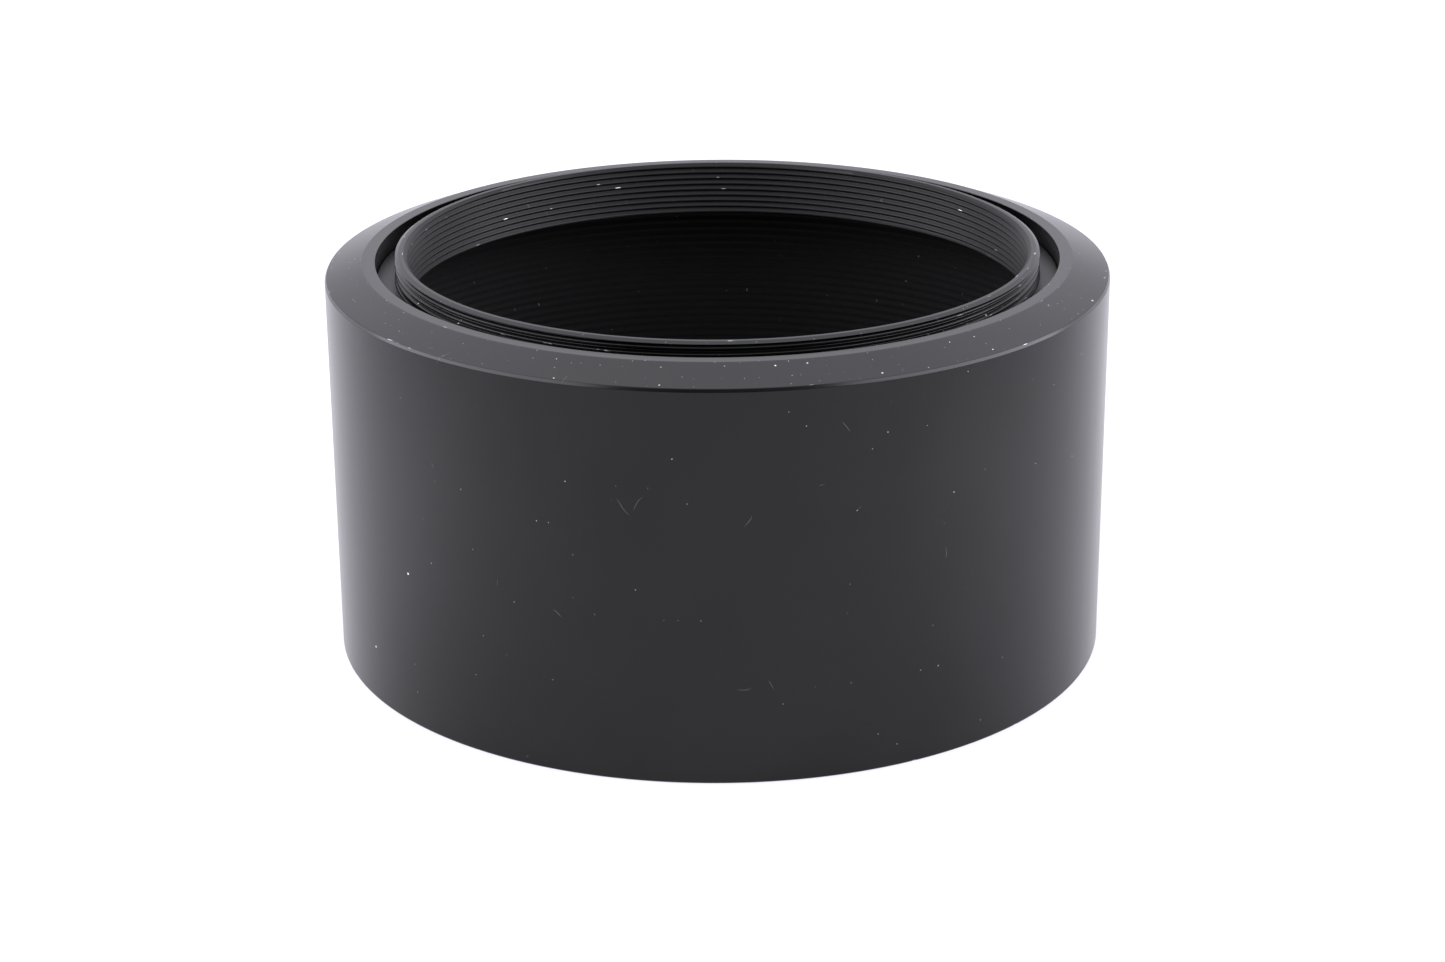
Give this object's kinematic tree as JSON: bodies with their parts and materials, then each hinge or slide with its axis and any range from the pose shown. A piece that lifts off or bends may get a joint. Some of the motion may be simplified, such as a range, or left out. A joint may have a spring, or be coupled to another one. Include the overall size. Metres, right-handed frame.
{
  "type": "lens hood",
  "caption": "Round black metal lens hood: bevelled barrel, screw-in mount ring with a male filter thread, and a ribbed matt black liner.",
  "frame": {"origin": "centre of the front rim's flat face, the face that the hood stands on", "axes": "+Z along the optical axis, from the front mouth towards the lens; the part is turned about Z, so X and Y are free"},
  "size_m": [0.0936, 0.0936, 0.0487],
  "materials": {
    "black_anodised": "black anodised, satin",
    "matt_black": "matt black anti-reflection coat"
  },
  "bodies": {
    "barrel": {"hood_barrel": "black_anodised", "baffle_liner": "matt_black"},
    "mount": {"mount_ring": "black_anodised"}
  },
  "joints": [
    {"name": "mount_ring_unscrew", "type": "slide", "parent": "barrel", "child": "mount", "axis": [0, 0, 1], "range_m": [0, 0.008]}
  ]
}
